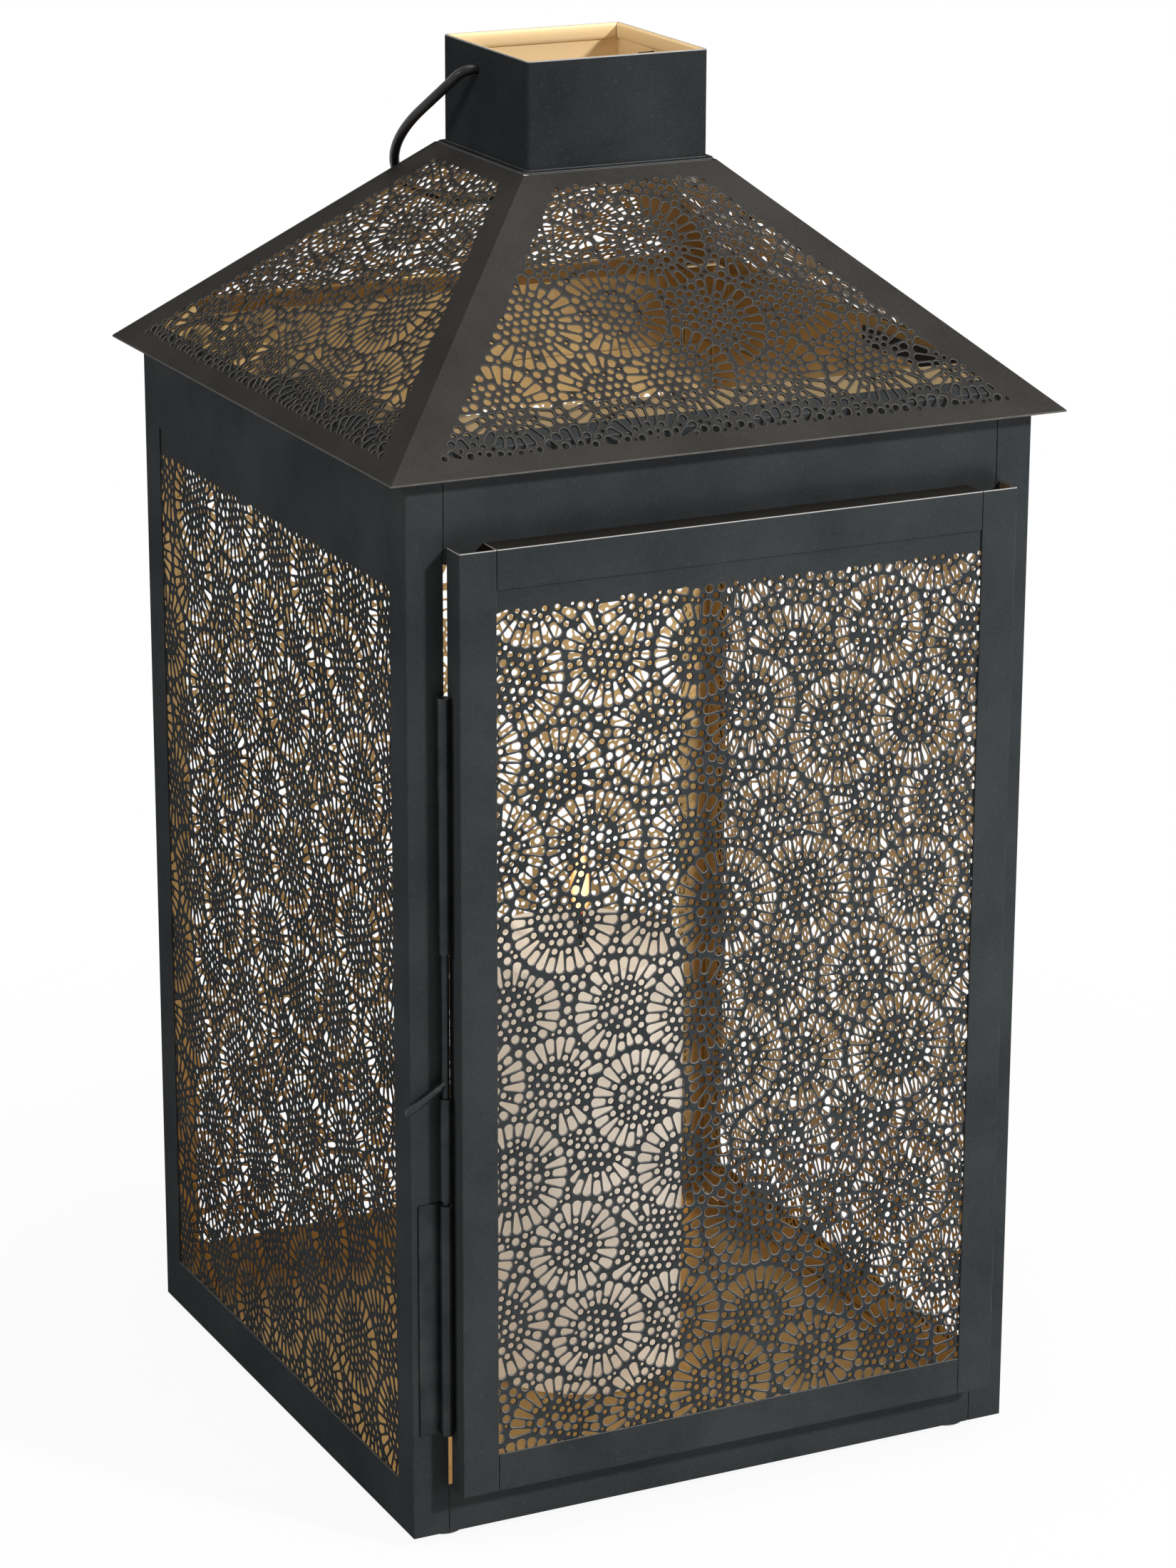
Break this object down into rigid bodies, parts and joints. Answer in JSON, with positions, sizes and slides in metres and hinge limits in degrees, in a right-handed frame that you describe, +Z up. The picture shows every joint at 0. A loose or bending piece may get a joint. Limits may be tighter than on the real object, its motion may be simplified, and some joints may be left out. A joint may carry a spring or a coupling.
{
  "type": "candle lantern",
  "caption": "Square pierced sheet-metal candle lantern with a hip roof, chimney collar, hinged door, slide bolt, folding wire bail and a pillar candle.",
  "frame": {"origin": "on the floor, under the centre of the square body", "axes": "+Z up; +X to the right seen from the door; the door faces -Y"},
  "size_m": [0.247, 0.2489, 0.4877],
  "materials": {
    "frame_metal": "satin dark graphite lacquer outside, gold lacquer inside",
    "pierced_sheet": "satin dark graphite lacquer outside, gold lacquer inside",
    "wire": "satin dark graphite lacquer",
    "wax": "smooth ivory wax",
    "wick": "charred cotton"
  },
  "bodies": {
    "lantern": {"corner_post_front_left": "frame_metal", "corner_post_front_right": "frame_metal", "corner_post_rear_left": "frame_metal", "corner_post_rear_right": "frame_metal", "top_rail_front": "frame_metal", "top_rail_rear": "frame_metal", "top_rail_left": "frame_metal", "top_rail_right": "frame_metal", "bottom_rail_front": "frame_metal", "bottom_rail_rear": "frame_metal", "bottom_rail_left": "frame_metal", "bottom_rail_right": "frame_metal", "base_plate": "frame_metal", "side_panel_left": "pierced_sheet", "side_panel_right": "pierced_sheet", "side_panel_rear": "pierced_sheet", "roof_panel_front": "pierced_sheet", "roof_panel_rear": "pierced_sheet", "roof_panel_left": "pierced_sheet", "roof_panel_right": "pierced_sheet", "chimney_collar": "frame_metal", "foot_front_left": "frame_metal", "foot_front_right": "frame_metal", "foot_rear_left": "frame_metal", "foot_rear_right": "frame_metal", "hinge_frame_upper": "frame_metal", "hinge_frame_lower": "frame_metal", "hinge_pin_upper": "wire", "hinge_pin_lower": "wire", "bolt_keeper": "frame_metal", "roof_stud": "frame_metal"},
    "door": {"door_stile_left": "frame_metal", "door_stile_right": "frame_metal", "door_rail_top": "frame_metal", "door_rail_bottom": "frame_metal", "door_panel": "pierced_sheet", "hinge_door_upper": "frame_metal", "hinge_door_lower": "frame_metal", "bolt_guide_upper": "frame_metal", "bolt_guide_lower": "frame_metal"},
    "bolt": {"bolt_rod": "wire", "bolt_handle": "wire"},
    "bail": {"bail": "wire"},
    "candle": {"candle": "wax", "wick": "wick"}
  },
  "joints": [
    {"name": "door_hinge", "type": "hinge", "parent": "lantern", "child": "door", "pos_m": [0.1063, -0.1178, 0.185], "axis": [0, 0, 1], "range_deg": [0, 120]},
    {"name": "bolt_slide", "type": "slide", "parent": "door", "child": "bolt", "axis": [0, 0, 1], "range_m": [0, 0.04]},
    {"name": "bail_hinge", "type": "hinge", "parent": "lantern", "child": "bail", "pos_m": [0, 0.006, 0.47963], "axis": [1, 0, 0], "range_deg": [0, 255]},
    {"name": "candle_lift", "type": "slide", "parent": "lantern", "child": "candle", "axis": [0, 0, 1], "range_m": [0, 0.1]}
  ]
}
